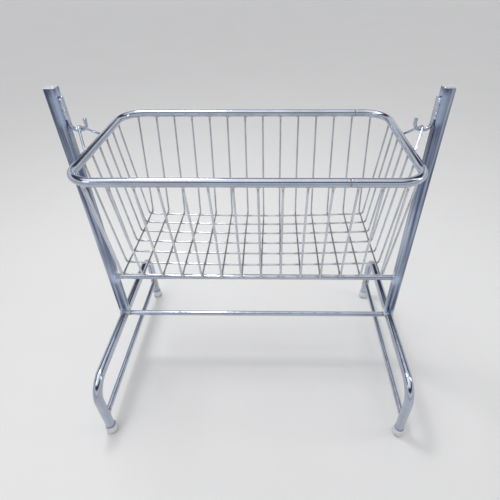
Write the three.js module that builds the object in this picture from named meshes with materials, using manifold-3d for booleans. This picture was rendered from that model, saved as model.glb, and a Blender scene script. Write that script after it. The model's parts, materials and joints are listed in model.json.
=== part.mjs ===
// Swinging hospital bassinet: a wire basket hung by two bails from hooks on a tubular stand.
// Millimetres. X runs from the left post to the right post, Y from front to back, Z up from the floor.
import * as THREE from 'three';
import { mergeVertices } from 'three/addons/utils/BufferGeometryUtils.js';
import Module from 'manifold-3d';

const wasm = await Module();
wasm.setup();

// Gap between pieces that are welded together, pressed in or hung on each other
const clearance = 0.3;

// Stand
const standHeight = 914;
const postSpacing = 860;
const postSide = 25.4;
const postWall = 1.6;
const postCorner = 3;
const capPlate = 2.5;
const capSpigot = 12;
const archHeight = 208;
const archReach = 580;
const archDiameter = 25.4;
const archWall = 1.6;
const archBend = 60;
const footWall = 3;
const footHeight = 30;
const footSole = 6;
const footRound = 5;
const footLip = 1.5;
const tieHeight = 78;
const stretcherDiameter = 16;
const stretcherWall = 1.2;
const upperStretcherHeight = 364;

// Hooks: a rod down the inner face of the post, turned up again in a J
const hookDiameter = 8;
const hookTopDrop = 20;
const hookSeatDrop = 96;
const hookBend = 15;
const hookSeat = 7;
const hookTip = 12;

// Bails: inverted V wires that carry the rim on the hooks
const bailDiameter = 6;
const bailTilt = THREE.MathUtils.degToRad(31);
const bailSpan = 100;

// Basket
const rimDrop = 29;
const rimDiameter = 19;
const rimWall = 1.2;
const rimWidth = 402;
const rimBend = 60;
const rimSeam = 215;
const basketDepth = 284;
const floorWidth = 306;
const floorSag = 8;
const endWallTaper = 30;
const wireDiameter = 5;
const wireBend = 8;
const crossWireCount = 14;
const crossWireMargin = 39;
const longWireCount = 7;
const longWireMargin = 10.5;

// Facets: sides of a round section are twice these numbers, and bendSteps are for a quarter turn
const tubeFacets = 8;
const rodFacets = 5;
const wireFacets = 4;
const cornerFacets = 2;
const footFacets = 24;
const footRoundSteps = 4;
const bendSteps = 6;
const wireBendSteps = 4;
const sagSteps = 6;

// Values that follow from the driving dimensions
const postX = postSpacing / 2;
const postInnerX = postX - postSide / 2;
const archRadius = archDiameter / 2;
const legY = archReach / 2;
const stretcherRadius = stretcherDiameter / 2;
const hookRadius = hookDiameter / 2;
const bailRadius = bailDiameter / 2;
const rimRadius = rimDiameter / 2;
const wireRadius = wireDiameter / 2;
const hookRodX = postInnerX - clearance - hookRadius;
const hookSeatX = hookRodX - hookBend - hookSeat / 2;
const hookSeatZ = standHeight - hookSeatDrop;
const bailCurl = (hookRadius + bailRadius + clearance) / Math.cos(bailTilt);
const bailReach = rimDrop / Math.cos(bailTilt);
const bailArcX = hookSeatX - bailCurl * Math.sin(bailTilt);
const bailFootX = bailArcX - bailReach * Math.sin(bailTilt);
const rimX = bailFootX - bailRadius - clearance - rimRadius;
const rimY = rimWidth / 2;
const rimZ = hookSeatZ - rimDrop;
const wireTopZ = rimZ - rimRadius - clearance;
const floorZ = rimZ - basketDepth;
const floorX = rimX - endWallTaper;
const floorY = floorWidth / 2;
const crossWireX = rimX - crossWireMargin;
const longWireY = floorY - longWireMargin;

const chrome = { color: 0xc8ccd2, metalness: 1, roughness: 0.14 };
const satin = { color: 0xc4c8cd, metalness: 1, roughness: 0.38 };
const rubber = { color: 0xd5d9dc, metalness: 0, roughness: 0.6 };

// A rod's centre line: straight runs through corner points, with each marked corner rounded by an arc
class BentRod extends THREE.Curve {
  constructor(corners, steps) {
    super();
    this.stations = [];
    corners.forEach((corner, i) => {
      const before = corners[i - 1];
      const after = corners[i + 1];
      if (!corner.bend || !before || !after) {
        this.stations.push(corner.at.clone());
        return;
      }
      const back = before.at.clone().sub(corner.at).normalize();
      const ahead = after.at.clone().sub(corner.at).normalize();
      const half = back.angleTo(ahead) / 2;
      const middle = back.clone().add(ahead).normalize();
      const centre = corner.at.clone().addScaledVector(middle, corner.bend / Math.sin(half));
      const start = corner.at.clone().addScaledVector(back, corner.bend / Math.tan(half)).sub(centre);
      const axis = ahead.clone().cross(back).normalize();
      const turn = Math.PI - 2 * half;
      const count = Math.max(2, Math.ceil(steps * turn / (Math.PI / 2)));
      for (let k = 0; k <= count; k++) {
        const spoke = start.clone().applyAxisAngle(axis, turn * k / count);
        this.stations.push(centre.clone().add(spoke));
      }
    });
    this.segments = this.stations.length - 1;
  }

  getPoint(t) {
    return this.stations[Math.round(t * this.segments)].clone();
  }

  getPointAt(u) {
    return this.getPoint(u);
  }

  getTangentAt(u) {
    const i = Math.round(u * this.segments);
    const here = this.stations[i];
    const tangent = new THREE.Vector3();
    if (i > 0) tangent.add(here.clone().sub(this.stations[i - 1]).normalize());
    if (i < this.segments) tangent.add(this.stations[i + 1].clone().sub(here).normalize());
    return tangent.normalize();
  }
}

function corner(x, y, z, bend = 0) {
  return { at: new THREE.Vector3(x, y, z), bend };
}

function disc(radius, wall = 0) {
  const shape = new THREE.Shape().absarc(0, 0, radius, 0, 2 * Math.PI);
  if (wall) shape.holes.push(new THREE.Path().absarc(0, 0, radius - wall, 0, 2 * Math.PI));
  return shape;
}

// A round rod, or a tube where a wall is given, carried along its bent centre line
function bentRod(corners, radius, { wall = 0, facets = rodFacets, steps = bendSteps } = {}) {
  const path = new BentRod(corners, steps);
  const options = { steps: path.segments, extrudePath: path, curveSegments: facets, bevelEnabled: false };
  return new THREE.ExtrudeGeometry(disc(radius, wall), options);
}

function roundedSquare(side, radius, Outline = THREE.Shape) {
  const reach = side / 2 - radius;
  const outline = new Outline();
  outline.absarc(reach, reach, radius, 0, Math.PI / 2);
  outline.absarc(-reach, reach, radius, Math.PI / 2, Math.PI);
  outline.absarc(-reach, -reach, radius, Math.PI, 1.5 * Math.PI);
  outline.absarc(reach, -reach, radius, 1.5 * Math.PI, 2 * Math.PI);
  outline.closePath();
  return outline;
}

function upright(shape, bottom, top) {
  const options = { depth: top - bottom, curveSegments: cornerFacets, bevelEnabled: false };
  return new THREE.ExtrudeGeometry(shape, options).translate(0, 0, bottom);
}

function toSolid(geometry) {
  const bare = geometry.clone();
  bare.deleteAttribute('normal');
  bare.deleteAttribute('uv');
  const merged = mergeVertices(bare, 1e-4);
  const vertProperties = new Float32Array(merged.attributes.position.array);
  const triVerts = new Uint32Array(merged.index.array);
  return new wasm.Manifold(new wasm.Mesh({ numProp: 3, vertProperties, triVerts }));
}

function toGeometry(solid) {
  const mesh = solid.getMesh();
  const geometry = new THREE.BufferGeometry();
  geometry.setAttribute('position', new THREE.BufferAttribute(mesh.vertProperties, 3));
  geometry.setIndex(new THREE.BufferAttribute(mesh.triVerts, 1));
  geometry.computeVertexNormals();
  return geometry;
}

function cut(geometry, ...tools) {
  return toGeometry(tools.reduce((solid, tool) => solid.subtract(toSolid(tool)), toSolid(geometry)));
}

function join(...geometries) {
  return toGeometry(geometries.map(toSolid).reduce((all, next) => all.add(next)));
}

function piece(group, name, geometry, finish) {
  const mesh = new THREE.Mesh(geometry, new THREE.MeshStandardMaterial(finish));
  mesh.name = name;
  group.add(mesh);
}

// One bent tube: front leg, run from front to back, rear leg
function baseArch(x) {
  const foot = footSole + clearance;
  const corners = [
    corner(x, -legY, foot),
    corner(x, -legY, archHeight, archBend),
    corner(x, legY, archHeight, archBend),
    corner(x, legY, foot),
  ];
  return bentRod(corners, archRadius, { wall: archWall, facets: tubeFacets });
}

// The room that the run of an arch takes where another tube is coped to it
function archSaddle(x) {
  const reach = postSide;
  const corners = [corner(x, -reach, archHeight), corner(x, reach, archHeight)];
  return bentRod(corners, archRadius + clearance, { facets: tubeFacets });
}

// The room that a leg takes where the tie between the legs is coped to it
function legSaddle(x, y) {
  const corners = [corner(x, y, tieHeight - stretcherDiameter), corner(x, y, tieHeight + stretcherDiameter)];
  return bentRod(corners, archRadius + clearance, { facets: tubeFacets });
}

// Square tube standing on the arch, its lower end coped to the round run
function post(x) {
  const outline = roundedSquare(postSide, postCorner);
  outline.holes.push(roundedSquare(postSide - 2 * postWall, postCorner - postWall, THREE.Path));
  const tube = upright(outline, archHeight, standHeight - capPlate - clearance).translate(x, 0, 0);
  return cut(tube, archSaddle(x));
}

// Flat closing plate with a spigot inside the post
function postCap(x) {
  const under = standHeight - capPlate;
  const spigotSide = postSide - 2 * postWall - 2 * clearance;
  const plate = upright(roundedSquare(postSide, postCorner), under, standHeight);
  const spigotShape = roundedSquare(spigotSide, postCorner - postWall);
  const spigot = upright(spigotShape, under - capSpigot, under + capPlate / 2);
  return join(plate, spigot).translate(x, 0, 0);
}

// Moulded cup pushed on the end of a leg, with a rounded sole and a thinned lip
function footCap(x, y) {
  const bore = archRadius + clearance;
  const outer = bore + footWall;
  const edge = new THREE.Path().absarc(outer - footRound, footRound, footRound, -Math.PI / 2, 0);
  const profile = [
    new THREE.Vector2(0, 0),
    ...edge.getPoints(footRoundSteps),
    new THREE.Vector2(outer, footHeight - footLip),
    new THREE.Vector2(outer - footLip, footHeight),
    new THREE.Vector2(bore, footHeight),
    new THREE.Vector2(bore, footSole),
    new THREE.Vector2(0, footSole),
  ];
  return new THREE.LatheGeometry(profile, footFacets).rotateX(Math.PI / 2).translate(x, y, 0);
}

// Tube between the two legs of one arch, close to the floor and coped to both
function tieRod(x) {
  const end = legY - archRadius / 2;
  const corners = [corner(x, -end, tieHeight), corner(x, end, tieHeight)];
  const tube = bentRod(corners, stretcherRadius, { wall: stretcherWall, facets: tubeFacets });
  return cut(tube, legSaddle(x, -legY), legSaddle(x, legY));
}

// The room that the lower end of a post takes above the run of its arch
function postRoom(x) {
  const side = postSide + 2 * clearance;
  return upright(roundedSquare(side, postCorner), archHeight, archHeight + stretcherDiameter).translate(x, 0, 0);
}

// Tube between the two arches, coped to their runs under the posts, with their undersides level
function lowerStretcher() {
  const z = archHeight - archRadius + stretcherRadius;
  const end = postX - archRadius / 2;
  const corners = [corner(-end, 0, z), corner(end, 0, z)];
  const tube = bentRod(corners, stretcherRadius, { wall: stretcherWall, facets: tubeFacets });
  return cut(tube, archSaddle(-postX), archSaddle(postX), postRoom(-postX), postRoom(postX));
}

// Tube between the inner faces of the posts, below the basket
function upperStretcher() {
  const end = postInnerX - clearance;
  const corners = [corner(-end, 0, upperStretcherHeight), corner(end, 0, upperStretcherHeight)];
  return bentRod(corners, stretcherRadius, { wall: stretcherWall, facets: tubeFacets });
}

// J of round rod: down the post, across the seat, and up to a cut tip
function hook(side) {
  const tipX = hookRodX - 2 * hookBend - hookSeat;
  const corners = [
    corner(side * hookRodX, 0, standHeight - hookTopDrop),
    corner(side * hookRodX, 0, hookSeatZ, hookBend),
    corner(side * tipX, 0, hookSeatZ, hookBend),
    corner(side * tipX, 0, hookSeatZ + hookBend + hookTip),
  ];
  return bentRod(corners, hookRadius);
}

// Inverted V in a leaning plane. Its crown is an arc about the seat's axis, and its legs are
// tangents of that arc which end beside the rim, half a span to the front and to the back.
function bail(side) {
  const half = bailSpan / 2;
  const slant = Math.sqrt(half ** 2 + bailReach ** 2 - bailCurl ** 2);
  const rise = bailCurl * (bailCurl * bailReach + half * slant) / (half ** 2 - bailCurl ** 2);
  const crownX = bailArcX + rise * Math.sin(bailTilt);
  const crownZ = hookSeatZ + rise * Math.cos(bailTilt);
  const corners = [
    corner(side * bailFootX, -half, rimZ),
    corner(side * crownX, 0, crownZ, bailCurl),
    corner(side * bailFootX, half, rimZ),
  ];
  return bentRod(corners, bailRadius, { facets: wireFacets, steps: 2 * bendSteps });
}

// Tube bent to a rounded rectangle, its two ends meeting at a seam in the front bar
function rim() {
  const corners = [
    corner(rimSeam + clearance / 2, -rimY, rimZ),
    corner(rimX, -rimY, rimZ, rimBend),
    corner(rimX, rimY, rimZ, rimBend),
    corner(-rimX, rimY, rimZ, rimBend),
    corner(-rimX, -rimY, rimZ, rimBend),
    corner(rimSeam - clearance / 2, -rimY, rimZ),
  ];
  return bentRod(corners, rimRadius, { wall: rimWall, facets: tubeFacets });
}

// How far the rim's centre line lies from the middle, at a place along the other axis
function rimReach(half, otherHalf, place) {
  const past = Math.max(0, Math.abs(place) - (otherHalf - rimBend));
  return half - rimBend + Math.sqrt(rimBend ** 2 - past ** 2);
}

// Height of the cross wires on the floor, which sags between the ends
function floorHeight(x) {
  return floorZ - floorSag * (1 - (x / floorX) ** 2);
}

// U wire: back wall, floor and front wall
function crossWire(x) {
  const top = rimReach(rimY, rimX, x);
  const z = floorHeight(x);
  const corners = [
    corner(x, -top, wireTopZ),
    corner(x, -floorY, z, wireBend),
    corner(x, floorY, z, wireBend),
    corner(x, top, wireTopZ),
  ];
  return bentRod(corners, wireRadius, { facets: wireFacets, steps: wireBendSteps });
}

// Wire along the basket under the cross wires, turned up at both ends as an end wall wire
function longWire(y) {
  const top = rimReach(rimX, rimY, y);
  const under = wireDiameter + clearance;
  const corners = [corner(-top, y, wireTopZ), corner(-floorX, y, floorHeight(floorX) - under, wireBend)];
  for (let i = 1; i < sagSteps; i++) {
    const x = THREE.MathUtils.lerp(-floorX, floorX, i / sagSteps);
    corners.push(corner(x, y, floorHeight(x) - under));
  }
  corners.push(corner(floorX, y, floorHeight(floorX) - under, wireBend), corner(top, y, wireTopZ));
  return bentRod(corners, wireRadius, { facets: wireFacets, steps: wireBendSteps });
}

function spread(count, half, make) {
  for (let i = 0; i < count; i++) make(THREE.MathUtils.lerp(-half, half, i / (count - 1)), i + 1);
}

const stand = new THREE.Group();
const basket = new THREE.Group();

for (const [sideName, side] of [['left', -1], ['right', 1]]) {
  const x = side * postX;
  piece(stand, `base_arch_${sideName}`, baseArch(x), chrome);
  piece(stand, `post_${sideName}`, post(x), chrome);
  piece(stand, `post_cap_${sideName}`, postCap(x), satin);
  piece(stand, `tie_rod_${sideName}`, tieRod(x), chrome);
  piece(stand, `hook_${sideName}`, hook(side), chrome);
  piece(stand, `foot_cap_front_${sideName}`, footCap(x, -legY), rubber);
  piece(stand, `foot_cap_rear_${sideName}`, footCap(x, legY), rubber);
  piece(basket, `bail_${sideName}`, bail(side), chrome);
}
piece(stand, 'lower_stretcher', lowerStretcher(), chrome);
piece(stand, 'upper_stretcher', upperStretcher(), chrome);

piece(basket, 'basket_rim', rim(), chrome);
spread(crossWireCount, crossWireX, (x, n) => piece(basket, `cross_wire_${n}`, crossWire(x), chrome));
spread(longWireCount, longWireY, (y, n) => piece(basket, `long_wire_${n}`, longWire(y), chrome));

const bassinet = new THREE.Group();
bassinet.add(stand, basket);

export default bassinet;
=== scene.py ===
import json
import math

import bpy
import numpy as np
from mathutils import Matrix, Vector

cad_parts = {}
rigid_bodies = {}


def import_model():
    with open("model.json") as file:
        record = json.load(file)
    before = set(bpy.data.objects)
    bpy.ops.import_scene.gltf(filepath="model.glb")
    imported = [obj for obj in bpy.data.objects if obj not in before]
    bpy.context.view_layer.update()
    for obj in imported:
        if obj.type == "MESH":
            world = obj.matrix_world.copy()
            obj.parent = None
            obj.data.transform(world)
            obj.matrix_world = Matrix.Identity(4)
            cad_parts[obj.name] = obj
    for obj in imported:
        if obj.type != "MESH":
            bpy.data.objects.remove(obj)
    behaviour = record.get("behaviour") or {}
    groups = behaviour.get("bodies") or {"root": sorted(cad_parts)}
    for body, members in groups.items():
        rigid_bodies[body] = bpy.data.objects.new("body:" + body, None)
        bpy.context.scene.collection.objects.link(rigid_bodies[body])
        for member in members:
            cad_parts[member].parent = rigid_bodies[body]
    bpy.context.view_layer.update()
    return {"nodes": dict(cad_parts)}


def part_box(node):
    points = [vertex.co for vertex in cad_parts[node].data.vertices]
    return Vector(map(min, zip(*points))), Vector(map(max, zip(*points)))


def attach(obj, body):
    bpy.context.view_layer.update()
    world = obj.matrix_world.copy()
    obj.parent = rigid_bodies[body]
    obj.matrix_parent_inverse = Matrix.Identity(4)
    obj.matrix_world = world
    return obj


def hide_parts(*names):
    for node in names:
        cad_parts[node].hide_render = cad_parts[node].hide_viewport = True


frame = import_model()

sides = {"left": -1, "right": 1}
ends = {"front": -1, "rear": 1}
sideways, backwards, upwards = np.eye(3)
print("frame loaded:", len(frame["nodes"]), "nodes")


# Shapes

def nodeBox(name):
    # lowest and highest corner of a CAD node, as one array
    return np.array([tuple(c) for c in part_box(name)])


def unit(v):
    # each vector over its own length
    return v / np.linalg.norm(v, axis=-1, keepdims=True)


def lengths(line):
    # metres along the line at each of its points
    return np.concatenate([[0], np.cumsum(np.linalg.norm(np.diff(line, axis=0), axis=1))])


def pointsAt(line, places):
    # the line's points at these metres along it
    along = lengths(line)
    return np.stack([np.interp(places, along, line[:, i]) for i in range(3)], -1)


def evenly(line, step, fewest=3):
    # the same line with its points one step apart
    total = lengths(line)[-1]
    return pointsAt(line, np.linspace(0, total, max(fewest, round(total / step))))


def bentLine(corners, bend, straightStep=0.006, arcStep=math.radians(4), fewest=4):
    # straight runs between corner points, each inner corner an arc of radius bend:
    # centre + start cos a - bend * back sin a
    corners = np.asarray(corners, float)
    knots = [corners[:1]]
    for before, here, after in zip(corners[:-2], corners[1:-1], corners[2:]):
        back, ahead = unit(before - here), unit(after - here)
        half = math.acos(float(np.clip(back @ ahead, -1, 1))) / 2
        turn = math.pi - 2 * half
        centre = here + unit(back + ahead) * bend / math.sin(half)
        start = here + back * bend / math.tan(half) - centre
        a = np.linspace(0, turn, max(fewest, math.ceil(turn / arcStep) + 1))[:, None]
        knots.append(centre + start * np.cos(a) - back * bend * np.sin(a))
    knots.append(corners[-1:])
    line = [knots[0]]
    for arc in knots[1:]:
        start = line[-1][-1]
        count = max(1, math.ceil(np.linalg.norm(arc[0] - start) / straightStep))
        line.append(start + (arc[0] - start) * np.linspace(0, 1, count + 1)[1:, None])
        line.append(arc[1:])
    return np.concatenate(line)


def circle(radius, count):
    # x = r cos a, y = r sin a
    a = np.linspace(0, 2 * np.pi, count, endpoint=False)
    return radius * np.stack([np.cos(a), np.sin(a)], -1)


def roundedSquare(side, radius, arcCount=7, flatLead=0.0012):
    # four corner arcs, each led in and out by a short flat so that the faces between stay flat
    a = np.linspace(0, np.pi / 2, arcCount)
    reach = side / 2 - radius
    arc = reach + radius * np.stack([np.cos(a), np.sin(a)], -1)
    quarter = np.concatenate([arc[:1] - [[0, flatLead]], arc, arc[-1:] - [[flatLead, 0]]])
    turns = [np.array([[c, s], [-s, c]]) for c, s in ((1, 0), (0, 1), (-1, 0), (0, -1))]
    return np.concatenate([quarter @ t for t in turns])


def headings(line, closed=False):
    # mean direction of the two chords that meet at each point
    if closed:
        chords = unit(np.roll(line, -1, 0) - line)
        return unit(chords + np.roll(chords, 1, 0))
    chords = unit(np.diff(line, axis=0))
    return unit(np.concatenate([chords[:1], chords[:-1] + chords[1:], chords[-1:]]))


def carried(line, profile, across, closed=False, scale=None):
    # ring k = line point k + scale k * (profile x to the side + profile y upwards)
    ahead = headings(line, closed)
    side = unit(np.cross(across, ahead))
    up = np.cross(ahead, side)
    size = np.ones(len(line)) if scale is None else scale
    flat = profile[None, :, :1] * side[:, None] + profile[None, :, 1:] * up[:, None]
    return line[:, None] + size[:, None, None] * flat


def easedEnds(line, radius, ease, count=4):
    # both ends drawn in over a quarter round of size ease, as a filed edge
    a = np.linspace(0, np.pi / 2, count)
    inset = ease * (1 - np.cos(a))[:, None]
    shrink = 1 - ease / radius * (1 - np.sin(a))
    head = line[0] + unit(line[1] - line[0]) * inset
    tail = line[-1] + unit(line[-2] - line[-1]) * inset
    scale = np.concatenate([shrink, np.ones(len(line) - 2), shrink[::-1]])
    return np.concatenate([head, line[1:-1], tail[::-1]]), scale


def gridFaces(rows, columns, closed=False):
    # one quad between each pair of rings and each pair of neighbours round the ring
    k, j = np.meshgrid(np.arange(rows if closed else rows - 1), np.arange(columns), indexing="ij")
    kNext, jNext = (k + 1) % rows, (j + 1) % columns
    quads = [k * columns + j, k * columns + jNext, kNext * columns + jNext, kNext * columns + j]
    return np.stack(quads, -1).reshape(-1, 4)


def gridUv(rings, closed=False):
    # u = metres along the piece, v = metres round its middle ring, unrolled so that no face wraps back
    loop = np.concatenate([rings, rings[:1]]) if closed else rings
    middle = rings[len(rings) // 2]
    along = lengths(loop.mean(1))
    around = lengths(np.concatenate([middle, middle[:1]]))
    k, j = np.meshgrid(np.arange(len(loop) - 1), np.arange(len(middle)), indexing="ij")
    u = np.stack([along[k], along[k], along[k + 1], along[k + 1]], -1)
    v = np.stack([around[j], around[j + 1], around[j + 1], around[j]], -1)
    return np.stack([u, v], -1).reshape(-1, 2)


def joinedShells(shells):
    # points, quads and end fans of all shells of rings, with a uv for each corner in that order
    points, quads, fans, quadUv, fanUv = [], [], [np.zeros((0, 3), int)], [], []
    base = 0
    for rings, closed in shells:
        rows, columns = rings.shape[:2]
        points.append(rings.reshape(-1, 3))
        quads.append(gridFaces(rows, columns, closed) + base)
        quadUv.append(gridUv(rings, closed))
        tip = base + rows * columns
        if not closed:
            points.append(np.stack([rings[0].mean(0), rings[-1].mean(0)]))
            here = np.arange(columns)
            after = (here + 1) % columns
            last = tip - columns
            fans.append(np.stack([np.full(columns, tip), base + after, base + here], -1))
            fans.append(np.stack([np.full(columns, tip + 1), last + here, last + after], -1))
            fanUv.append(np.zeros((columns * 6, 2)))
        base = tip if closed else tip + 2
    return np.concatenate(points), np.concatenate(quads), np.concatenate(fans), np.concatenate(quadUv + fanUv)


def surfaceObject(name, shells, material, sharp=35):
    # shells become one mesh, smooth but for edges that turn by more than sharp degrees
    points, quads, fans, uv = joinedShells(shells)
    starts = np.concatenate([np.arange(len(quads)) * 4, quads.size + np.arange(len(fans)) * 3])
    mesh = bpy.data.meshes.new(name)
    mesh.vertices.add(len(points))
    mesh.vertices.foreach_set("co", points.astype(np.float32).ravel())
    mesh.loops.add(quads.size + fans.size)
    mesh.loops.foreach_set("vertex_index", np.concatenate([quads.ravel(), fans.ravel()]).astype(np.int32))
    mesh.polygons.add(len(starts))
    mesh.polygons.foreach_set("loop_start", starts.astype(np.int32))
    mesh.update(calc_edges=True)
    mesh.uv_layers.new(name="surface").data.foreach_set("uv", uv.astype(np.float32).ravel())
    mesh.validate()
    mesh.shade_smooth()
    mesh.set_sharp_from_angle(angle=math.radians(sharp))
    mesh.materials.append(material)
    made = bpy.data.objects.new(name, mesh)
    bpy.context.collection.objects.link(made)
    return made


def fitted(piece, body, slotName, *nodes):
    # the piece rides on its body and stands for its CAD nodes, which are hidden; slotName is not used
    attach(piece, body)
    if nodes:
        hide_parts(*nodes)
    return piece


def standIn(node, ending, rings, material, body, slotName, closed=False, sharp=35):
    # a piece of one shell in the place of a CAD node, named after it
    piece = surfaceObject(f"{node}_{ending}", [(rings, closed)], material, sharp)
    return fitted(piece, body, slotName, node)


# Shader nodes

def feed(tree, target, source):
    # a socket is linked to the target, a plain value is set on it
    if isinstance(source, bpy.types.NodeSocket):
        tree.links.new(source, target)
    else:
        target.default_value = source


def addNode(tree, kind, **inputs):
    # a node with its named inputs fed, an underscore standing for a gap in the name
    node = tree.nodes.new(kind)
    for key, source in inputs.items():
        feed(tree, node.inputs[key.replace("_", " ")], source)
    return node


def noise(tree, place, scale, **settings):
    # cloudy values between 0 and 1
    return addNode(tree, "ShaderNodeTexNoise", Vector=place, Scale=scale, **settings).outputs["Fac"]


def ranged(tree, value, span, onto=(0.0, 1.0)):
    # the value brought from its span onto another and held at the ends
    node = addNode(tree, "ShaderNodeMapRange", Value=value, From_Min=span[0], From_Max=span[1],
                   To_Min=onto[0], To_Max=onto[1])
    return node.outputs["Result"]


def calculated(tree, operation, *values):
    # one Math node, its values in order
    node = tree.nodes.new("ShaderNodeMath")
    node.operation = operation
    for target, value in zip(node.inputs, values):
        feed(tree, target, value)
    return node.outputs["Value"]


def blended(tree, share, under, over, blend="MIX"):
    # one colour laid over another by a share
    node = tree.nodes.new("ShaderNodeMix")
    node.data_type = "RGBA"
    node.blend_type = blend
    feed(tree, node.inputs["Factor"], share)
    feed(tree, node.inputs["A"], under)
    feed(tree, node.inputs["B"], over)
    return node.outputs["Result"]


def bumped(tree, height, depth, strength, **under):
    # a normal tipped by a height of so many metres, over another normal if one is given
    node = addNode(tree, "ShaderNodeBump", Height=height, Distance=depth, Strength=strength, **under)
    return node.outputs["Normal"]


def setStops(ramp, stops):
    # a colour ramp's stops, each a place and a colour
    elements = ramp.color_ramp.elements
    elements.remove(elements[1])
    for place, tone in stops.items():
        stop = elements[0] if place == min(stops) else elements.new(place)
        stop.position = place
        stop.color = tone


def newGroup(name, inputs, outputs):
    # an empty shader group with its named sockets
    group = bpy.data.node_groups.new(name, "ShaderNodeTree")
    for flow, sockets in (("INPUT", inputs), ("OUTPUT", outputs)):
        for label, kind in sockets.items():
            group.interface.new_socket(name=label, in_out=flow, socket_type="NodeSocket" + kind)
    return group, group.nodes.new("NodeGroupInput").outputs, group.nodes.new("NodeGroupOutput").inputs


def placeGroup(tree, group, **inputs):
    # a group in a material with its inputs fed; its outputs come back
    node = tree.nodes.new("ShaderNodeGroup")
    node.node_tree = group
    for key, source in inputs.items():
        feed(tree, node.inputs[key.replace("_", " ")], source)
    return node.outputs


def newMaterial(name, metallic):
    # a material, its nodes, its shader and the coordinates on its surface
    material = bpy.data.materials.new(name)
    material.use_nodes = True
    tree = material.node_tree
    shader = tree.nodes["Principled BSDF"]
    shader.inputs["Metallic"].default_value = metallic
    return material, tree, shader, tree.nodes.new("ShaderNodeTexCoord").outputs


def dressed(tree, shader, tone, rough, normal):
    # the shader's colour, roughness and normal linked
    feed(tree, shader.inputs["Base Color"], tone)
    feed(tree, shader.inputs["Roughness"], rough)
    feed(tree, shader.inputs["Normal"], normal)


# Effects that the finishes share

smudge = {"broad": {"Detail": 5.0, "Roughness": 0.62, "Distortion": 0.6},
          "fine": {"Detail": 3.0, "Roughness": 0.7},
          "patchSpan": (0.42, 0.7), "speckSpan": (0.5, 0.8), "speckShare": 0.45}
lineNoise = {"Detail": 2.0, "Roughness": 0.6}
heatAndReflection = {"grain": 240.0, "grainDetail": 3.0, "swing": (0.5, 1.3), "stainAndReflectionShare": 0.85, "roughShare": 0.2,
        "spans": {"Faint": (0.04, 0.4), "Full": (0.4, 0.95)}}
scratch = {"slow": {"Detail": 0.0, "Distortion": 2.2}, "middle": 0.5, "hair": 0.006, "patchScale": 23.0,
           "patchDetail": 1.0, "patchSpan": (0.5, 0.62)}


def smudgeGroup():
    # broad hand smudges and fine dust from two noises, as a colour, a roughness and a height
    group, given, result = newGroup(
        "handledBright",
        {"Vector": "Vector", "Clean": "Color", "Smudged": "Color", "Smudge Scale": "Float",
         "Dust Scale": "Float", "Lowest Roughness": "Float", "Highest Roughness": "Float"},
        {"Color": "Color", "Roughness": "Float", "Height": "Float"})
    broad = noise(group, given["Vector"], given["Smudge Scale"], **smudge["broad"])
    fine = noise(group, given["Vector"], given["Dust Scale"], **smudge["fine"])
    patch = ranged(group, broad, smudge["patchSpan"])
    speck = ranged(group, fine, smudge["speckSpan"])
    both = calculated(group, "MULTIPLY_ADD", speck, smudge["speckShare"], patch)
    rough = ranged(group, both, (0.0, 1.0), (given["Lowest Roughness"], given["Highest Roughness"]))
    feed(group, result["Color"], blended(group, patch, given["Clean"], given["Smudged"]))
    feed(group, result["Roughness"], rough)
    feed(group, result["Height"], fine)
    return group


def drawnAndReflectionGroup():
    # long fine lines left by drawing and polishing, and the long bands of painted reflection streaks, from a
    # noise stretched along the piece's own u
    group, given, result = newGroup("drawnLines", {"UV": "Vector", "Along": "Float", "Round": "Float"},
                                    {"Line": "Float"})
    factors = addNode(group, "ShaderNodeCombineXYZ", X=given["Along"], Y=given["Round"])
    stretch = group.nodes.new("ShaderNodeVectorMath")
    stretch.operation = "MULTIPLY"
    feed(group, stretch.inputs[0], given["UV"])
    feed(group, stretch.inputs[1], factors.outputs["Vector"])
    feed(group, result["Line"], noise(group, stretch.outputs["Vector"], 1.0, **lineNoise))
    return group


def heatAndReflectionGroup():
    # a faint stain, then a full one, as the heat of a weld rises, broken up by a noise: darker heat stains on
    # most pieces, a pale blue painted reflection on the posts, paler bluer tones on the rods
    group, given, result = newGroup(
        "weldHeat",
        {"Vector": "Vector", "Color": "Color", "Faint": "Color", "Full": "Color", "Roughness": "Float",
         "Heat": "Float"},
        {"Color": "Color", "Roughness": "Float"})
    grain = noise(group, given["Vector"], heatAndReflection["grain"], Detail=heatAndReflection["grainDetail"])
    warm = calculated(group, "MULTIPLY", given["Heat"], ranged(group, grain, (0.0, 1.0), heatAndReflection["swing"]))
    tone = given["Color"]
    for stain, span in heatAndReflection["spans"].items():
        share = ranged(group, warm, span, (0.0, heatAndReflection["stainAndReflectionShare"]))
        tone = blended(group, share, tone, given[stain])
    feed(group, result["Color"], tone)
    rough = calculated(group, "MULTIPLY_ADD", warm, heatAndReflection["roughShare"], given["Roughness"])
    feed(group, result["Roughness"], rough)
    return group


def scratchGroup():
    # hair lines where a slow noise crosses its middle value, shown only in scattered patches
    group, given, result = newGroup("hairScratches", {"Vector": "Vector", "Scale": "Float"},
                                    {"Mark": "Float"})
    slow = noise(group, given["Vector"], given["Scale"], **scratch["slow"])
    hair = calculated(group, "COMPARE", slow, scratch["middle"], scratch["hair"])
    patches = noise(group, given["Vector"], scratch["patchScale"], Detail=scratch["patchDetail"])
    shown = ranged(group, patches, scratch["patchSpan"])
    feed(group, result["Mark"], calculated(group, "MULTIPLY", hair, shown))
    return group


smudges = smudgeGroup()
drawnLines = drawnAndReflectionGroup()
weldHeat = heatAndReflectionGroup()
hairScratches = scratchGroup()
print("shared effects made")
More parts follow.
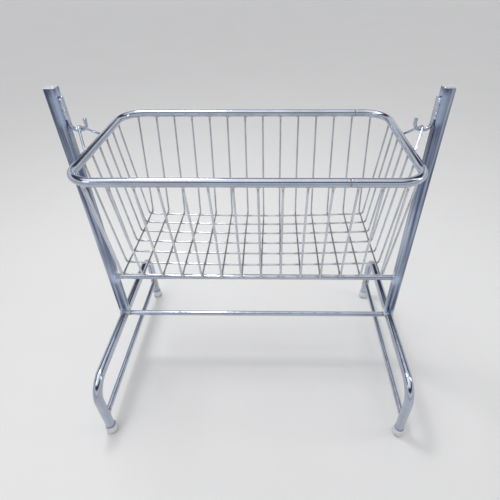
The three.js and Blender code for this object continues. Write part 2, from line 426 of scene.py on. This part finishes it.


# Finishes

# every plated finish has these values, unless its own line below says otherwise
# the band and streak values paint dark reflection bands along the plating, partly polishing streaks
plated = {"smudgeScale": 9.0, "dustScale": 260.0, "polishAndReflectionBands": (1.6, 130.0), "polishAndReflectionSpan": (0.44, 0.62),
          "polishAndReflectionShare": 0.25, "polishAndReflectionTone": (0.55, 0.6, 0.72, 1), "lines": (6.0, 900.0), "lineDepth": 2e-5,
          "lineStrength": 0.25, "dentDepth": 0.0, "dentScale": 11.0, "dentDetail": 1.0, "dentStrength": 0.5,
          "scratchScale": 60.0, "scratchRough": 0.25, "place": "UV",
          "weldStainsAndReflection": ((0.46, 0.44, 0.43, 1), (0.28, 0.28, 0.31, 1))}
finishes = {
    "brightTube": {"clean": (0.52, 0.57, 0.67, 1), "smudged": (0.43, 0.46, 0.53, 1), "rough": (0.06, 0.22)},
    "brightPost": {"clean": (0.53, 0.59, 0.71, 1), "smudged": (0.41, 0.46, 0.57, 1), "rough": (0.06, 0.18),
                   # painted reflection: the posts' strong dark navy streaks along their length
                   "polishAndReflectionBands": (2.4, 70.0), "polishAndReflectionSpan": (0.33, 0.58), "polishAndReflectionShare": 0.9,
                   "polishAndReflectionTone": (0.11, 0.15, 0.25, 1), "dentDepth": 0.0012,
                   # painted reflection: the posts' pale blue stains, a bright patch near the hook weld
                   "weldStainsAndReflection": ((0.46, 0.55, 0.72, 1), (0.54, 0.66, 0.88, 1))},
    "brightRod": {"clean": (0.52, 0.57, 0.67, 1), "smudged": (0.43, 0.46, 0.53, 1), "rough": (0.07, 0.2),
                  # the rods turn paler and bluer near their welds
                  "weldStainsAndReflection": ((0.58, 0.63, 0.72, 1), (0.68, 0.74, 0.84, 1))},
    "brightWire": {"clean": (0.65, 0.68, 0.74, 1), "smudged": (0.52, 0.52, 0.54, 1), "rough": (0.08, 0.22),
                   "smudgeScale": 14.0, "lineDepth": 1e-5},
    "satinCap": {"clean": (0.86, 0.89, 0.94, 1), "smudged": (0.74, 0.77, 0.82, 1), "rough": (0.24, 0.4),
                 "smudgeScale": 40.0, "lines": (60.0, 1100.0), "lineDepth": 5e-5, "place": "Object"},
    "weldMetal": {"clean": (0.76, 0.79, 0.85, 1), "smudged": (0.5, 0.52, 0.56, 1), "rough": (0.16, 0.42),
                  "smudgeScale": 160.0, "lines": (400.0, 400.0), "lineDepth": 8e-5, "polishAndReflectionShare": 0.0},
}
moulded = {"clean": (0.74, 0.76, 0.79, 1), "smudged": (0.6, 0.62, 0.65, 1), "rough": (0.38, 0.62),
           "smudgeScale": 70.0, "dustScale": 700.0, "floorDarkTone": (0.3, 0.28, 0.26, 1), "floorDarkTop": 0.012,
           "floorDarkShare": 0.55, "grainDepth": 0.0002, "grainStrength": 0.2}


def touchedBy(tree, look, place):
    # the smudges with one finish's tones, scales and roughness
    low, high = look["rough"]
    return placeGroup(tree, smudges, Vector=place, Clean=look["clean"], Smudged=look["smudged"],
                      Smudge_Scale=look["smudgeScale"], Dust_Scale=look["dustScale"],
                      Lowest_Roughness=low, Highest_Roughness=high)


def linesOf(tree, scales, place):
    # drawn lines, and the bands of painted reflection streaks, with their scales along the piece and round it
    return placeGroup(tree, drawnLines, UV=place, Along=scales[0], Round=scales[1])["Line"]


def platedMaterial(name, look):
    # bright plating: smudges, streaks that are partly polishing and partly painted reflection, and weld heat
    # stains in the colour, where the posts get a painted pale blue reflection near the welds; drawn lines in
    # the normal
    material, tree, shader, where = newMaterial(name, 1.0)
    solid, surface = where["Object"], where[look["place"]]
    touched = touchedBy(tree, look, solid)
    # painted reflection: dark bands along the piece, partly polishing streaks
    polishAndReflectionStreaks = ranged(tree, linesOf(tree, look["polishAndReflectionBands"], surface), look["polishAndReflectionSpan"], (0.0, look["polishAndReflectionShare"]))
    polishAndReflectionStreaked = blended(tree, polishAndReflectionStreaks, touched["Color"], look["polishAndReflectionTone"], "MULTIPLY")
    reading = tree.nodes.new("ShaderNodeAttribute")
    reading.attribute_name = "weldWarmth"
    faint, full = look["weldStainsAndReflection"]
    # weld heat stains, and on the posts a painted pale blue reflection patch
    heatedAndReflected = placeGroup(tree, weldHeat, Vector=solid, Color=polishAndReflectionStreaked, Faint=faint, Full=full,
                        Roughness=touched["Roughness"], Heat=reading.outputs["Fac"])
    under = {}
    if look["dentDepth"]:
        dents = noise(tree, solid, look["dentScale"], Detail=look["dentDetail"])
        under["Normal"] = bumped(tree, dents, look["dentDepth"], look["dentStrength"])
    lines = linesOf(tree, look["lines"], surface)
    scratches = placeGroup(tree, hairScratches, Vector=solid, Scale=look["scratchScale"])
    dressed(tree, shader, heatedAndReflected["Color"],
            calculated(tree, "MULTIPLY_ADD", scratches["Mark"], look["scratchRough"], heatedAndReflected["Roughness"]),
            bumped(tree, lines, look["lineDepth"], look["lineStrength"], **under))
    return material


def mouldedMaterial(name, look):
    # pale moulded plastic, greyed towards the floor
    material, tree, shader, where = newMaterial(name, 0.0)
    touched = touchedBy(tree, look, where["Object"])
    height = addNode(tree, "ShaderNodeSeparateXYZ", Vector=where["Object"]).outputs["Z"]
    # darker towards the floor over the lowest part of the cap
    floorDarkening = ranged(tree, height, (0.0, look["floorDarkTop"]), (look["floorDarkShare"], 0.0))
    dressed(tree, shader, blended(tree, floorDarkening, touched["Color"], look["floorDarkTone"]), touched["Roughness"],
            bumped(tree, touched["Height"], look["grainDepth"], look["grainStrength"]))
    return material


metal = {name: platedMaterial(name, {**plated, **look}) for name, look in finishes.items()}
paleMoulded = mouldedMaterial("paleMoulded", moulded)
print("materials made:", len(metal) + 1)


# Stand

stand = {"archTube": 0.0254, "archBend": 0.06, "archSides": 40, "barTube": 0.016, "barSides": 32,
         "postCorner": 0.003, "capEdge": 0.0006, "weldGap": 0.0003}
archRadius = stand["archTube"] / 2
barRadius = stand["barTube"] / 2
copeRadius = archRadius + stand["weldGap"]
postBox = nodeBox("post_right")
postX = postBox[:, 0].mean()
postSide = np.ptp(postBox[:, 1])
postInnerX, postTop = postBox[0, 0], postBox[1, 2]
capTop = nodeBox("post_cap_right")[1, 2]
archBox = nodeBox("base_arch_right")
legY = archBox[1, 1] - archRadius
archZ = archBox[1, 2] - archRadius
footZ = archBox[0, 2]
tieZ = nodeBox("tie_rod_right")[:, 2].mean()
lowerZ = nodeBox("lower_stretcher")[:, 2].mean()
upperBox = nodeBox("upper_stretcher")
upperZ = upperBox[:, 2].mean()
archProfile = circle(archRadius, stand["archSides"])
barProfile = circle(barRadius, stand["barSides"])
postProfile = roundedSquare(postSide, stand["postCorner"])


def copeDepth(offset, radius):
    # how far a tube of this radius stands out at an offset from its axis
    return np.sqrt(np.maximum(0, radius ** 2 - offset ** 2))


for sideName, side in sides.items():
    x = side * postX
    corners = [(x, -legY, footZ), (x, -legY, archZ), (x, legY, archZ), (x, legY, footZ)]
    rings = carried(bentLine(corners, stand["archBend"]), archProfile, sideways)
    standIn(f"base_arch_{sideName}", "tube", rings, metal["brightTube"], "stand", "chrome_tube")

    # post: a rounded square carried straight up, its foot coped to the arch
    rings = carried(bentLine([(x, 0, archZ), (x, 0, postTop)], 0), postProfile, backwards)
    rings[0, :, 2] = archZ + copeDepth(rings[0, :, 0] - x, copeRadius)
    standIn(f"post_{sideName}", "tube", rings, metal["brightPost"], "stand", "chrome_tube")

    # cap: the same square, flat, with a filed edge
    plate = np.array([(x, 0, postTop + stand["weldGap"]), (x, 0, capTop)])
    plate, scale = easedEnds(plate, postSide / 2, stand["capEdge"])
    rings = carried(plate, postProfile, backwards, scale=scale)
    standIn(f"post_cap_{sideName}", "plate", rings, metal["satinCap"], "stand", "satin_cap")

    # tie tube between the legs, coped to them
    rings = carried(bentLine([(x, -legY, tieZ), (x, legY, tieZ)], 0), barProfile, sideways)
    for ring, end in ((0, -1), (-1, 1)):
        rings[ring, :, 1] = end * (legY - copeDepth(rings[ring, :, 0] - x, copeRadius))
    standIn(f"tie_rod_{sideName}", "tube", rings, metal["brightTube"], "stand", "chrome_tube")

# lower stretcher, coped to the arches, and upper stretcher, flat on the posts
rings = carried(bentLine([(-postX, 0, lowerZ), (postX, 0, lowerZ)], 0), barProfile, upwards)
for ring, end in ((0, -1), (-1, 1)):
    rings[ring, :, 0] = end * (postX - copeDepth(rings[ring, :, 2] - archZ, copeRadius))
standIn("lower_stretcher", "tube", rings, metal["brightTube"], "stand", "chrome_tube")
rings = carried(bentLine([(x, 0, upperZ) for x in upperBox[:, 0]], 0), barProfile, upwards)
standIn("upper_stretcher", "tube", rings, metal["brightTube"], "stand", "chrome_tube")
print("stand made")


# Foot caps

foot = {"wall": 0.0033, "round": 0.005, "roundSteps": 9, "soleShare": 0.5, "ribs": (0.0095, 0.0135, 0.0175),
        "ribHalf": 0.0009, "ribDepth": 0.00045, "ribReach": 1.6, "ribFall": 2, "ribSteps": 9, "lip": 0.0007,
        "lipStart": -math.pi / 6, "lipSteps": 12, "neckDrop": 3.2, "insideDrop": 3, "turns": 64, "sharp": 50}
footTop = nodeBox("foot_cap_front_left")[1, 2]


def footRings(x, y):
    # a turned profile: flat sole, rounded edge, three shallow ribs, rolled lip, then inside to the leg
    outer = archRadius + foot["wall"]
    sole = np.array([[outer * foot["soleShare"], 0.0]])
    a = np.linspace(-np.pi / 2, 0, foot["roundSteps"])
    edge = np.stack([outer - foot["round"] * (1 - np.cos(a)), foot["round"] * (1 + np.sin(a))], -1)
    t = np.linspace(-foot["ribReach"], foot["ribReach"], foot["ribSteps"])
    z = np.array(foot["ribs"])[:, None] + foot["ribHalf"] * t
    swell = np.tile(np.exp(-t ** 2 * foot["ribFall"]), len(foot["ribs"]))
    ribs = np.stack([outer + foot["ribDepth"] * swell, z.ravel()], -1)
    lipRadius = (outer + foot["lip"] - archRadius) / 2
    b = np.linspace(foot["lipStart"], np.pi, foot["lipSteps"])
    lip = np.stack([archRadius + lipRadius * (1 + np.cos(b)), footTop - lipRadius * (1 - np.sin(b))], -1)
    neck = np.array([[outer, footTop - foot["neckDrop"] * lipRadius]])
    inside = np.array([[copeRadius, footTop - foot["insideDrop"] * lipRadius]])
    profile = np.concatenate([sole, edge, ribs, neck, lip, inside])
    turn = np.linspace(0, 2 * np.pi, foot["turns"], endpoint=False)
    ring = np.stack([np.cos(turn), np.sin(turn), np.zeros_like(turn)], -1)
    return np.array([x, y, 0.0]) + profile[:, None, :1] * ring + profile[:, None, 1:] * upwards


for sideName, side in sides.items():
    for endName, end in ends.items():
        rings = footRings(side * postX, end * legY)
        standIn(f"foot_cap_{endName}_{sideName}", "cup", rings, paleMoulded, "stand", "foot_plastic",
                sharp=foot["sharp"])
print("foot caps made")


# Hooks and bails

hanger = {"hookRod": 0.008, "hookBend": 0.015, "hookTip": 0.012, "bailRod": 0.006,
          "bailTilt": math.radians(31), "bailSpan": 0.1, "filed": 0.0009, "rodSides": 24, "step": 0.003}
hookRadius = hanger["hookRod"] / 2
bailRadius = hanger["bailRod"] / 2
rimBox = nodeBox("basket_rim")
rimZ = rimBox[:, 2].mean()
hookBox = nodeBox("hook_right")
hookTop = hookBox[1, 2]
rodX, tipX = hookBox[1, 0] - hookRadius, hookBox[0, 0] + hookRadius
seatX = (rodX + tipX) / 2
seatZ = hookBox[0, 2] + hookRadius
tipZ = seatZ + hanger["hookBend"] + hanger["hookTip"]


def bailCorners(side):
    # toes beside the rim with the crown between them, where the tangents of the arc round the seat meet
    tilt, half = hanger["bailTilt"], hanger["bailSpan"] / 2
    curl = (hookRadius + bailRadius + stand["weldGap"]) / math.cos(tilt)
    reach = (seatZ - rimZ) / math.cos(tilt)
    slant = math.sqrt(half ** 2 + reach ** 2 - curl ** 2)
    rise = curl * (curl * reach + half * slant) / (half ** 2 - curl ** 2)
    arcX = seatX - curl * math.sin(tilt)
    toeX, crownX = arcX - reach * math.sin(tilt), arcX + rise * math.sin(tilt)
    crownZ = seatZ + rise * math.cos(tilt)
    return np.array([(side * toeX, -half, rimZ), (side * crownX, 0, crownZ), (side * toeX, half, rimZ)]), curl


def rodRings(corners, bend, radius, plane):
    # a round rod bent through its corners, with filed ends
    line, scale = easedEnds(bentLine(corners, bend, hanger["step"]), radius, hanger["filed"])
    return carried(line, circle(radius, hanger["rodSides"]), plane, scale=scale)


for sideName, side in sides.items():
    corners = [(side * rodX, 0, hookTop), (side * rodX, 0, seatZ),
               (side * tipX, 0, seatZ), (side * tipX, 0, tipZ)]
    rings = rodRings(corners, hanger["hookBend"], hookRadius, backwards)
    standIn(f"hook_{sideName}", "rod", rings, metal["brightRod"], "stand", "chrome_rod")

    corners, curl = bailCorners(side)
    plane = unit(np.cross(corners[1] - corners[0], corners[2] - corners[1]))
    rings = rodRings(corners, curl, bailRadius, plane)
    standIn(f"bail_{sideName}", "wire", rings, metal["brightRod"], "basket", "chrome_rod")
print("hooks and bails made")


# Basket rim

basket = {"rimTube": 0.019, "rimBend": 0.06, "rimSides": 40, "rimArcStep": math.radians(3), "crossWires": 14,
          "longWires": 7, "wire": 0.005, "wireBend": 0.008, "wireStep": 0.0035, "wireSides": 14, "sag": 0.008,
          "taper": 0.03, "floorWidth": 0.306, "depth": 0.284, "stray": 0.0007, "strayTurns": (0.6, 3.2),
          "strayFade": 0.6, "longSeed": 40}
seam = {"frontX": 0.205, "rearX": 0.28, "depth": 0.0006, "width": 0.0016, "flat": 0.00014,
        "flatSpread": 0.011, "flatPitch": 0.013, "zone": 0.024, "rings": 97, "stain": 0.0022,
        "search": 20001}
rimRadius = basket["rimTube"] / 2
rimX, rimY = rimBox[1, 0] - rimRadius, rimBox[1, 1] - rimRadius


def closeAtSeams(line):
    # the line with its points set close at both seams, and each point's signed way to the nearer seam
    along = lengths(line)
    fine = np.linspace(0, along[-1], seam["search"])
    search = pointsAt(line, fine)
    spots = [(seam["frontX"], -rimY, rimZ), (seam["rearX"], rimY, rimZ)]
    marks = np.array([fine[np.linalg.norm(search - spot, axis=1).argmin()] for spot in spots])
    near = marks + seam["zone"] * np.linspace(-1, 1, seam["rings"])[:, None]
    far = along[:-1][np.abs(along[:-1, None] - marks).min(1) > seam["zone"]]
    places = np.sort(np.concatenate([far, near.ravel()]))
    gaps = places[:, None] - marks
    return pointsAt(line, places), np.take_along_axis(gaps, np.abs(gaps).argmin(1)[:, None], 1)


corners = [(0, -rimY, rimZ), (rimX, -rimY, rimZ), (rimX, rimY, rimZ),
           (-rimX, rimY, rimZ), (-rimX, -rimY, rimZ), (0, -rimY, rimZ)]
line, gap = closeAtSeams(bentLine(corners, basket["rimBend"], arcStep=basket["rimArcStep"]))
rings = carried(line, circle(rimRadius, basket["rimSides"]), upwards, closed=True)
# ground seams: a bell shaped groove, and a slow twist of flats under a wider bell
around = np.linspace(0, 2 * np.pi, basket["rimSides"], endpoint=False)
groove = seam["depth"] * np.exp(-(gap / seam["width"]) ** 2)
twist = np.sin(2 * around + 2 * np.pi * gap / seam["flatPitch"])
flats = seam["flat"] * np.exp(-(gap / seam["flatSpread"]) ** 2) * twist
rings = line[:, None] + (rings - line[:, None]) * (1 - (groove + flats) / rimRadius)[..., None]
seamWarmth = np.repeat(np.exp(-(gap / seam["stain"]) ** 2), basket["rimSides"])
rim = standIn("basket_rim", "tube", rings, metal["brightTube"], "basket", "chrome_tube", closed=True)
print("rim made")


# Basket wires

wireRadius = basket["wire"] / 2
wireTopZ = rimZ - rimRadius - stand["weldGap"]
floorZ = rimZ - basket["depth"]
floorX, floorY = rimX - basket["taper"], basket["floorWidth"] / 2
wireDrop = basket["wire"] + stand["weldGap"]  # long wires lie this far under the cross wires
crossX = np.array([nodeBox(f"cross_wire_{n + 1}")[:, 0].mean() for n in range(basket["crossWires"])])
longY = np.array([nodeBox(f"long_wire_{n + 1}")[:, 1].mean() for n in range(basket["longWires"])])


def rimReach(half, otherHalf, place):
    # distance of the rim's centre line from the middle, with the corner's circle taken off
    past = max(0.0, abs(place) - (otherHalf - basket["rimBend"]))
    return half - basket["rimBend"] + math.sqrt(basket["rimBend"] ** 2 - past ** 2)


def floorDrop(x):
    # parabola, nothing at the ends and the whole sag in the middle
    return basket["sag"] * np.maximum(0, 1 - (x / floorX) ** 2)


def strayed(line, seed):
    # mean of three slow waves in each direction that fades out at both ends, as wire set by hand
    rng = np.random.default_rng(seed)
    s = np.linspace(0, 1, len(line))[:, None, None]
    turns = rng.uniform(*basket["strayTurns"], (1, 3, 3))
    waves = np.sin(2 * np.pi * (turns * s + rng.random((1, 3, 3)))).mean(2)
    return line + basket["stray"] * waves * np.sin(np.pi * s[:, :, 0]) ** basket["strayFade"]


def addWire(node, line, plane):
    # a round wire carried along its line
    rings = carried(line, circle(wireRadius, basket["wireSides"]), plane)
    standIn(node, "bar", rings, metal["brightWire"], "basket", "basket_wire")


for n, x in enumerate(crossX, 1):
    top, z = rimReach(rimY, rimX, x), floorZ - float(floorDrop(x))
    corners = [(x, -top, wireTopZ), (x, -floorY, z), (x, floorY, z), (x, top, wireTopZ)]
    line = bentLine(corners, basket["wireBend"], basket["wireStep"])
    addWire(f"cross_wire_{n}", strayed(line, n), sideways)
for n, y in enumerate(longY, 1):
    top, z = rimReach(rimX, rimY, y), floorZ - wireDrop
    corners = [(-top, y, wireTopZ), (-floorX, y, z), (floorX, y, z), (top, y, wireTopZ)]
    line = bentLine(corners, basket["wireBend"], basket["wireStep"])
    line[:, 2] -= floorDrop(line[:, 0])
    addWire(f"long_wire_{n}", strayed(line, basket["longSeed"] + n), backwards)
print("wires made:", len(crossX) + len(longY))


# Welds

weld = {"step": 0.0007, "pitch": 0.0034, "ripple": 0.16, "drift": 0.8, "swell": 0.1, "wander": 0.0004,
        "tip": 0.05, "sides": 10, "sharp": 80, "swellTurns": (1, 2, 3, 5), "wanderTurns": (3, 4, 7),
        "lumpWaves": (0.16, 0.12), "lumpGrid": (5, 9), "hoopPoints": 72}
# stand: bead radii, how far each line stands off its joint, and seeds
standWeld = {"post": 0.0026, "postSpread": 0.001, "postRise": 0.0008, "lower": 0.002, "lowerOff": 0.0006,
             "upper": 0.0018, "upperOff": 0.001, "tie": 0.0018, "tieOff": 0.0005, "hook": 0.0032,
             "hookOff": 0.0014, "hookApart": 0.0042, "hookRun": (0.004, 0.052), "postSeed": 11,
             "lowerSeed": 12, "upperSeed": 13, "tieSeed": 14, "hookSeed": 20, "hookSeedStep": 3}
# basket: half sizes of the lumps, how far they stand off, and seeds
basketWeld = {"cross": (0.0044, 0.004, 0.0036), "long": (0.004, 0.0044, 0.0036), "topDrop": 0.001,
              "toe": (0.0036, 0.006, 0.0044), "toeIn": 0.0028, "toeDrop": 0.0008,
              "floor": (0.0031, 0.0031, 0.0017), "floorGrid": (3, 7),
              "crossSeed": 100, "longSeed": 200, "toeSeed": 300, "floorSeed": 500}
# the posts' larger reach spreads their painted reflection patch farther from the welds
warmth = {"reach": 0.009, "postReflectionReach": 0.013, "every": 6, "batch": 24,
          "pieces": ("_tube", "_rod", "_wire", "_bar")}
weldPlaces = []


def slowWaves(count, turns, rng):
    # sum of sines of so many whole turns along the run, each over its number of turns
    share = [turn * np.arange(count) / count for turn in turns]
    return sum(np.sin(2 * np.pi * (s + rng.random())) / turn for s, turn in zip(share, turns))


def bead(line, radius, plane, seed, closed=True):
    # a round run whose radius swells at each ripple and whose line wanders a little
    rng = np.random.default_rng(seed)
    line = evenly(line, weld["step"])
    if closed:
        line = line[:-1]
    count = len(line)
    ripples = max(1, round((count - 1) * weld["step"] / weld["pitch"]))
    phase = 2 * np.pi * ripples * np.arange(count) / count
    slow = slowWaves(count, weld["swellTurns"], rng)
    scale = 1 + weld["ripple"] * np.sin(phase + weld["drift"] * slow) + weld["swell"] * slow
    if not closed:
        fromTip = np.minimum(np.arange(count), np.arange(count)[::-1]) * weld["step"] / radius
        scale = scale * np.sqrt(np.clip(1 - (1 - np.clip(fromTip, 0, 1)) ** 2, weld["tip"], 1))
    line = line + weld["wander"] * slowWaves(count, weld["wanderTurns"], rng)[:, None] * plane
    weldPlaces.append(line[::warmth["every"]])
    return carried(line, circle(radius, weld["sides"]), plane, closed, scale), closed


def lump(centre, size, seed, grid=weld["lumpGrid"]):
    # a ball of three half sizes whose radius is varied by two waves
    weldPlaces.append(np.asarray(centre)[None])
    rows, columns = grid
    lat = np.linspace(-np.pi / 2, np.pi / 2, rows + 2)[1:-1, None]
    lon = np.linspace(0, 2 * np.pi, columns, endpoint=False)[None]
    a, b = np.random.default_rng(seed).uniform(0, 2 * np.pi, 2)
    first, second = weld["lumpWaves"]
    waves = first * np.sin(2 * lon + a) + second * np.sin(3 * lon + 2 * lat + b)
    ball = np.stack([np.cos(lat) * np.cos(lon), np.cos(lat) * np.sin(lon), np.sin(lat) + 0 * lon], -1)
    return np.asarray(centre) + ball * (1 + waves * np.cos(lat))[..., None] * np.asarray(size), False


def hoop(centre, radius, axis):
    # a full circle about x or y, its last point on its first
    a = np.linspace(0, 2 * np.pi, weld["hoopPoints"])
    spokes = {"x": (0 * a, np.cos(a), np.sin(a)), "y": (np.sin(a), 0 * a, np.cos(a))}
    return np.asarray(centre) + radius * np.stack(spokes[axis], -1)


for sideName, side in sides.items():
    x = side * postX
    # post on the arch: the square's outline let down on the round run
    outline = roundedSquare(postSide + standWeld["postSpread"], stand["postCorner"])
    outline = np.concatenate([outline, outline[:1]])
    saddleZ = archZ + copeDepth(outline[:, 0], archRadius + standWeld["postRise"])
    saddle = np.stack([x + outline[:, 0], outline[:, 1], saddleZ], -1)
    shells = [bead(saddle, standWeld["post"], upwards, standWeld["postSeed"])]
    # lower stretcher to the arch, upper stretcher to the post
    ring = hoop((0, 0, lowerZ), barRadius, "x")
    ring[:, 0] = side * (postX - copeDepth(ring[:, 2] - archZ, archRadius) - standWeld["lowerOff"])
    shells.append(bead(ring, standWeld["lower"], sideways, standWeld["lowerSeed"]))
    ring = hoop((side * (postInnerX - standWeld["upperOff"]), 0, upperZ), barRadius, "x")
    shells.append(bead(ring, standWeld["upper"], sideways, standWeld["upperSeed"]))
    # tie rod to both legs
    for end in ends.values():
        ring = hoop((x, 0, tieZ), barRadius, "y")
        ring[:, 1] = end * (legY - copeDepth(ring[:, 0] - x, archRadius) - standWeld["tieOff"])
        shells.append(bead(ring, standWeld["tie"], backwards, standWeld["tieSeed"] + end))
    # hook rod to the post: a run down each side of the rod
    edge = side * (postInnerX - standWeld["hookOff"])
    for end in ends.values():
        apart = end * standWeld["hookApart"]
        run = np.array([(edge, apart, hookTop - drop) for drop in standWeld["hookRun"]])
        seed = standWeld["hookSeed"] + standWeld["hookSeedStep"] * side + end
        shells.append(bead(run, standWeld["hook"], backwards, seed, closed=False))
    piece = surfaceObject(f"stand_welds_{sideName}", shells, metal["weldMetal"], weld["sharp"])
    fitted(piece, "stand", "chrome_tube")

# wire tops and bail toes on the rim
shells = []
topZ = wireTopZ - basketWeld["topDrop"]
for n, x in enumerate(crossX):
    for end in ends.values():
        top = (x, end * rimReach(rimY, rimX, x), topZ)
        shells.append(lump(top, basketWeld["cross"], basketWeld["crossSeed"] + 2 * n + end))
for n, y in enumerate(longY):
    for side in sides.values():
        top = (side * rimReach(rimX, rimY, y), y, topZ)
        shells.append(lump(top, basketWeld["long"], basketWeld["longSeed"] + 2 * n + side))
for side in sides.values():
    toes = bailCorners(side)[0][::2]
    for toe, end in zip(toes, ends.values()):
        spot = toe - (side * basketWeld["toeIn"], 0, basketWeld["toeDrop"])
        shells.append(lump(spot, basketWeld["toe"], basketWeld["toeSeed"] + side + 2 * end))
piece = surfaceObject("rim_welds", shells, metal["weldMetal"], weld["sharp"])
fitted(piece, "basket", "basket_wire")

# crossings of the floor's wires
crossings = [(x, y, floorZ - float(floorDrop(x)) - wireDrop / 2) for x in crossX for y in longY]
shells = [lump(place, basketWeld["floor"], basketWeld["floorSeed"] + n, basketWeld["floorGrid"])
          for n, place in enumerate(crossings)]
piece = surfaceObject("floor_welds", shells, metal["weldMetal"], weld["sharp"])
fitted(piece, "basket", "basket_wire")


def addWarmth(piece, places, reach, own=0.0):
    # e to the minus square of the distance to the nearest weld over its reach, or the piece's own if more
    points = np.empty(len(piece.data.vertices) * 3, np.float32)
    piece.data.vertices.foreach_get("co", points)
    points = points.reshape(-1, 3)
    nearest = np.full(len(points), np.inf, np.float32)
    for batch in np.array_split(places.astype(np.float32), max(1, len(places) // warmth["batch"])):
        squares = ((points[:, None] - batch[None]) ** 2).sum(-1)
        nearest = np.minimum(nearest, squares.min(1))
    value = np.maximum(np.exp(-nearest / reach ** 2), own).astype(np.float32)
    piece.data.attributes.new("weldWarmth", "FLOAT", "POINT").data.foreach_set("value", value)


places = np.concatenate(weldPlaces)
for piece in bpy.data.objects:
    if piece.type == "MESH" and piece.name.endswith(warmth["pieces"]):
        reach = warmth["postReflectionReach" if piece.name.startswith("post_") else "reach"]
        addWarmth(piece, places, reach, seamWarmth if piece == rim else 0.0)
print("welds made:", len(weldPlaces))


# Floor, light and background

studio = {"floorSize": 60.0, "floorTone": (0.8, 0.79, 0.775, 1), "cloudTone": (0.768, 0.7584, 0.744, 1),
          "cloud": 1.7, "cloudDetail": 4.0, "floorRough": 0.7, "floorSpecular": 0.2, "skyStrength": 1.35,
          "highSky": (0.6, 0.78), "sideReach": 0.5, "leftShare": 1.45, "rightShare": 0.6}
skyStops = {0.0: (0.4, 0.4, 0.4, 1), 0.24: (0.62, 0.62, 0.625, 1), 0.42: (0.6, 0.607, 0.62, 1),
            0.48: (0.045, 0.05, 0.066, 1), 0.72: (0.038, 0.043, 0.06, 1), 0.79: (0.78, 0.8, 0.84, 1),
            1.0: (1.0, 1.0, 1.0, 1)}
lamps = {
    "overheadBox": {"place": (-0.6, 0.5, 2.5), "aim": (0, 0.1, 0.5), "size": (0.55, 0.45), "power": 18,
                    "tone": (0.97, 0.98, 1)},
    "frontBox": {"place": (-1.7, -1.5, 2.1), "aim": (0, 0, 0.5), "size": (0.9, 0.9), "power": 5,
                 "tone": (1, 0.98, 0.95)},
    "sideStrip": {"place": (1.9, -0.1, 1.7), "aim": (0, 0, 0.6), "size": (0.4, 1.5), "power": 5,
                  "tone": (0.95, 0.97, 1)},
}


def floorMaterial():
    # pale matt sheet with a faint cloud of tone
    material, tree, shader, where = newMaterial("paleFloor", 0.0)
    cloud = noise(tree, where["Object"], studio["cloud"], Detail=studio["cloudDetail"])
    feed(tree, shader.inputs["Base Color"], blended(tree, cloud, studio["floorTone"], studio["cloudTone"]))
    shader.inputs["Roughness"].default_value = studio["floorRough"]
    shader.inputs["Specular IOR Level"].default_value = studio["floorSpecular"]
    return material


far = studio["floorSize"] / 2
sheet = bpy.data.meshes.new("floor")
sheet.from_pydata([(-far, -far, 0), (far, -far, 0), (far, far, 0), (-far, far, 0)], [], [(0, 1, 2, 3)])
sheet.materials.append(floorMaterial())
floor = bpy.data.objects.new("floor", sheet)
bpy.context.collection.objects.link(floor)

for name, lamp in lamps.items():
    light = bpy.data.lights.new(name, "AREA")
    light.shape = "RECTANGLE"
    light.size, light.size_y = lamp["size"]
    light.energy = lamp["power"]
    light.color = lamp["tone"]
    holder = bpy.data.objects.new(name, light)
    bpy.context.collection.objects.link(holder)
    away = unit(np.array(lamp["place"]) - np.array(lamp["aim"]))
    across = unit(np.cross(upwards, away))
    turned = np.stack([across, np.cross(away, across), away], -1)
    holder.matrix_world = Matrix.Translation(lamp["place"]) @ Matrix(turned.tolist()).to_4x4()

world = bpy.data.worlds.new("studio")
bpy.context.scene.world = world
world.use_nodes = True
sky = world.node_tree
direction = sky.nodes.new("ShaderNodeTexCoord").outputs["Generated"]
heading = addNode(sky, "ShaderNodeSeparateXYZ", Vector=direction).outputs
ramp = addNode(sky, "ShaderNodeValToRGB", Fac=heading["Z"])
setStops(ramp, skyStops)
# the high sky is brighter towards the left, as under a lamp on that side
leftStrength = studio["leftShare"] * studio["skyStrength"]
rightStrength = studio["rightShare"] * studio["skyStrength"]
leaning = ranged(sky, heading["X"], (-studio["sideReach"], studio["sideReach"]),
                 (leftStrength, rightStrength))
high = ranged(sky, heading["Z"], studio["highSky"])
strength = addNode(sky, "ShaderNodeMix", Factor=high, A=studio["skyStrength"], B=leaning)
background = sky.nodes["Background"].inputs
feed(sky, background["Color"], ramp.outputs["Color"])
feed(sky, background["Strength"], strength.outputs["Result"])
bpy.context.scene.view_settings.view_transform = "Standard"
print("studio made:", len(lamps), "lamps")


# Camera, from the photograph's view

view = {"place": (0.0556, -0.8797, 1.1509), "pitch": 38.3, "yaw": 1.0, "roll": -0.4, "focalPixels": 388.9,
        "imagePixels": 500, "middlePixel": (268.1, 253.0), "sensor": 36.0}
camera = bpy.data.objects.new("camera", bpy.data.cameras.new("camera"))
bpy.context.collection.objects.link(camera)
camera.data.sensor_width = view["sensor"]
camera.data.lens = view["sensor"] * view["focalPixels"] / view["imagePixels"]
camera.data.shift_x = 0.5 - view["middlePixel"][0] / view["imagePixels"]
camera.data.shift_y = view["middlePixel"][1] / view["imagePixels"] - 0.5
camera.matrix_world = (Matrix.Translation(view["place"]) @ Matrix.Rotation(math.radians(view["yaw"]), 4, "Z")
                       @ Matrix.Rotation(math.radians(90 - view["pitch"]), 4, "X")
                       @ Matrix.Rotation(math.radians(view["roll"]), 4, "Z"))
bpy.context.scene.camera = camera
print("camera set")

bpy.context.view_layer.update()
